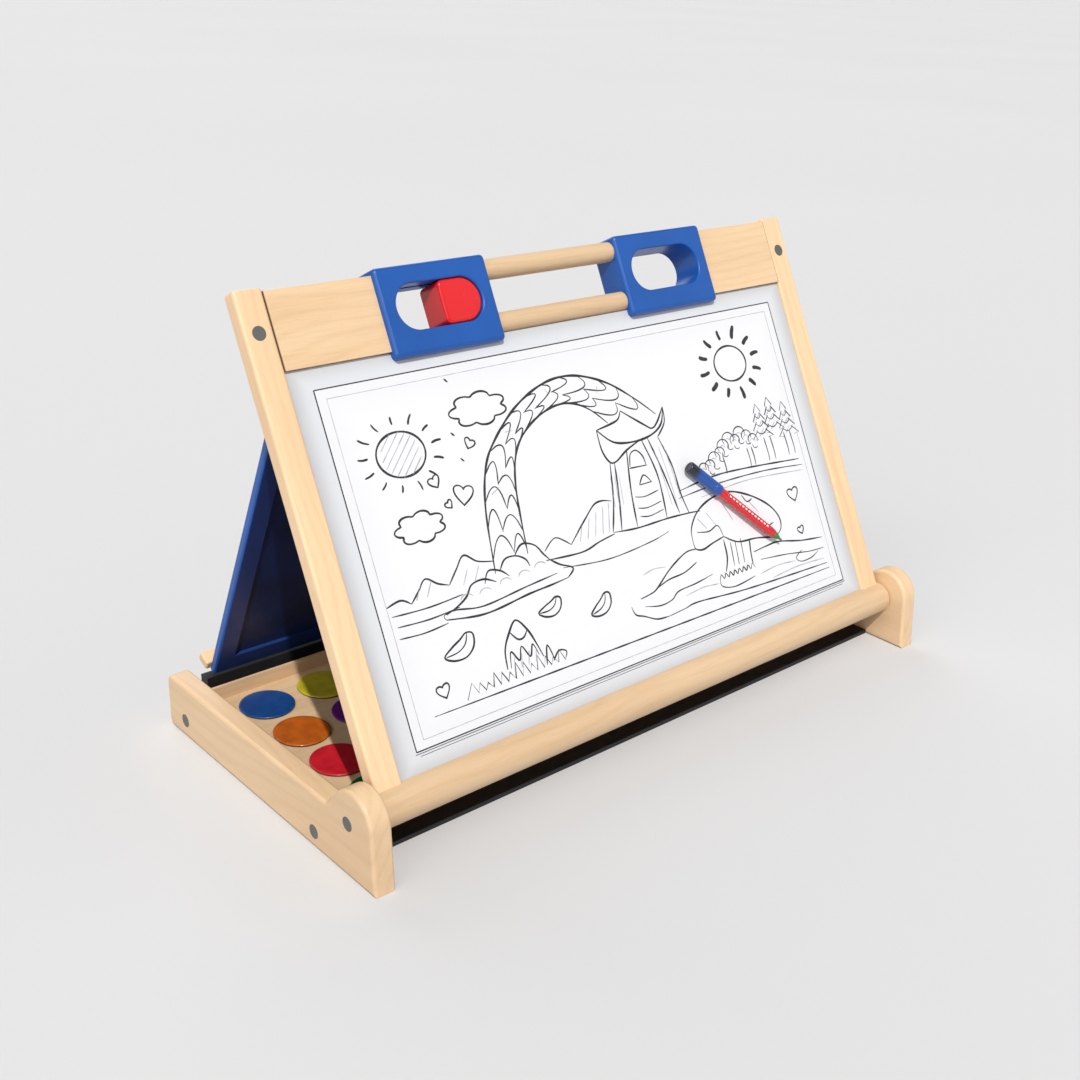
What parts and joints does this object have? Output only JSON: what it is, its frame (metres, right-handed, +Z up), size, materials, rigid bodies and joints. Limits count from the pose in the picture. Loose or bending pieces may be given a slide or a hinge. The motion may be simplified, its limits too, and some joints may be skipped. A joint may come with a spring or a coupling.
{
  "type": "kids easel",
  "caption": "Folding tabletop drawing easel with a framed whiteboard, a hinged chalkboard behind it, a paint tray in the base and a carrying handle between blue sleeves.",
  "frame": {"origin": "on the surface it stands on, under the middle of its box", "axes": "+X across the easel to the user's right as they face the whiteboard, +Y to the rear, +Z up"},
  "size_m": [0.52, 0.2532, 0.3161],
  "materials": {
    "wood": "pale beech, satin varnish",
    "black_board": "black painted board, matt",
    "slate": "matt chalkboard paint",
    "white_enamel": "glossy white magnetic board",
    "blue_plastic": "moulded, satin",
    "red_plastic": "moulded, semi-gloss",
    "grey_screw": "flat dull grey heads",
    "hinge_steel": "plated steel",
    "magnet": "ferrite",
    "pen_blue": "moulded, gloss",
    "pen_red": "moulded, gloss",
    "pen_green": "felt nib and holder",
    "paint_green": "glossy cake of paint",
    "paint_red": "glossy cake of paint",
    "paint_orange": "glossy cake of paint",
    "paint_blue": "glossy cake of paint",
    "paint_brown": "glossy cake of paint",
    "paint_sky_blue": "glossy cake of paint",
    "paint_purple": "glossy cake of paint",
    "paint_yellow": "glossy cake of paint",
    "paint_black": "glossy cake of paint",
    "paint_turquoise": "glossy cake of paint",
    "paint_pink": "glossy cake of paint",
    "paint_white": "glossy cake of paint"
  },
  "bodies": {
    "base": {"left_side_rail": "wood", "right_side_rail": "wood", "front_cross_rail": "wood", "rear_cross_rail": "wood", "base_board": "black_board", "rear_stop_board": "black_board", "palette_board": "wood", "palette_rear_wall": "wood", "rail_screws": "grey_screw", "pivot_screws": "grey_screw", "paint_disc_green": "paint_green", "paint_disc_red": "paint_red", "paint_disc_orange": "paint_orange", "paint_disc_blue": "paint_blue", "paint_disc_brown": "paint_brown", "paint_disc_sky_blue": "paint_sky_blue", "paint_disc_purple": "paint_purple", "paint_disc_yellow": "paint_yellow", "paint_disc_black": "paint_black", "paint_disc_turquoise": "paint_turquoise", "paint_disc_pink": "paint_pink", "paint_disc_white": "paint_white"},
    "drawing_panel": {"bottom_dowel": "wood", "left_stile": "wood", "right_stile": "wood", "left_top_rail": "wood", "right_top_rail": "wood", "whiteboard": "white_enamel", "hinge_rail": "wood", "left_sleeve": "blue_plastic", "right_sleeve": "blue_plastic", "upper_handle_bar": "wood", "lower_handle_bar": "wood", "stile_screws": "grey_screw", "left_hinge_front_leaf": "hinge_steel", "right_hinge_front_leaf": "hinge_steel", "left_hinge_pin": "hinge_steel", "right_hinge_pin": "hinge_steel", "front_hinge_screws": "hinge_steel"},
    "chalkboard_panel": {"back_frame": "blue_plastic", "chalkboard": "slate", "chalk_ledge": "wood", "left_hinge_back_leaf": "hinge_steel", "right_hinge_back_leaf": "hinge_steel", "back_hinge_screws": "hinge_steel"},
    "slide_latch": {"slide_latch": "red_plastic"},
    "magnetic_pen": {"pen_cap": "pen_blue", "pen_magnet": "magnet", "pen_barrel": "pen_red", "pen_nib": "pen_green"}
  },
  "joints": [
    {"name": "panel_fold", "type": "hinge", "parent": "base", "child": "drawing_panel", "pos_m": [0, -0.09923, 0.036], "axis": [1, 0, 0], "range_deg": [0, 27.4]},
    {"name": "chalkboard_fold", "type": "hinge", "parent": "drawing_panel", "child": "chalkboard_panel", "pos_m": [0, 0.01492, 0.23601], "axis": [1, 0, 0], "range_deg": [-51.6, 0]},
    {"name": "latch_slide", "type": "slide", "parent": "drawing_panel", "child": "slide_latch", "axis": [-1, 0, 0], "range_m": [0, 0.02]},
    {"name": "pen_lift", "type": "slide", "parent": "drawing_panel", "child": "magnetic_pen", "axis": [0, -0.8878, 0.4602], "range_m": [0, 0.03]}
  ],
  "couplings": [
    {"joint": "chalkboard_fold", "follows": "panel_fold", "ratio": -1.88}
  ]
}
